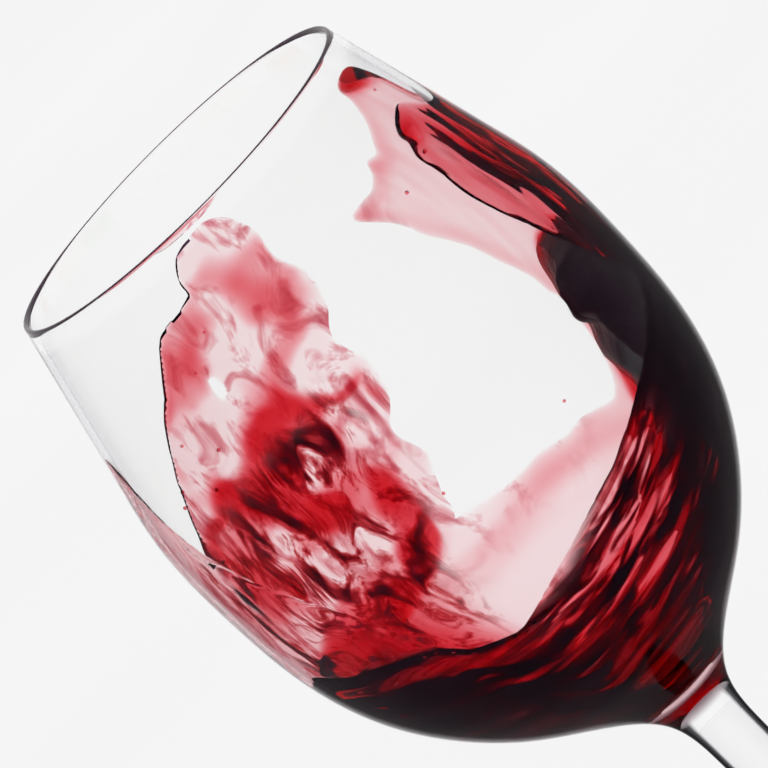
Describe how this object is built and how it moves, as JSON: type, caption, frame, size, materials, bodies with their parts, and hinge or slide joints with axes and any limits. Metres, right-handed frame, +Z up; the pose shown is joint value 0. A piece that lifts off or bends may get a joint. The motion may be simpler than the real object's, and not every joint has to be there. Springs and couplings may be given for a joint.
{
  "type": "glass of red wine",
  "caption": "Stemmed tulip wine glass with red wine splashing up the inside of the bowl: a shallow pool thrown up the wall in sheets and waves.",
  "frame": {"origin": "centre of the foot, on the plane it stands on", "axes": "+Z up the stem to the rim; +X towards the wine's thick wave, -X towards its torn sheet; the front of the picture is -Y"},
  "size_m": [0.092, 0.092, 0.225],
  "materials": {
    "clear_glass": "clear polished lead-free crystal",
    "red_wine": "clear dark red liquid"
  },
  "bodies": {
    "root": {"glass": "clear_glass", "wine": "red_wine"}
  },
  "joints": []
}
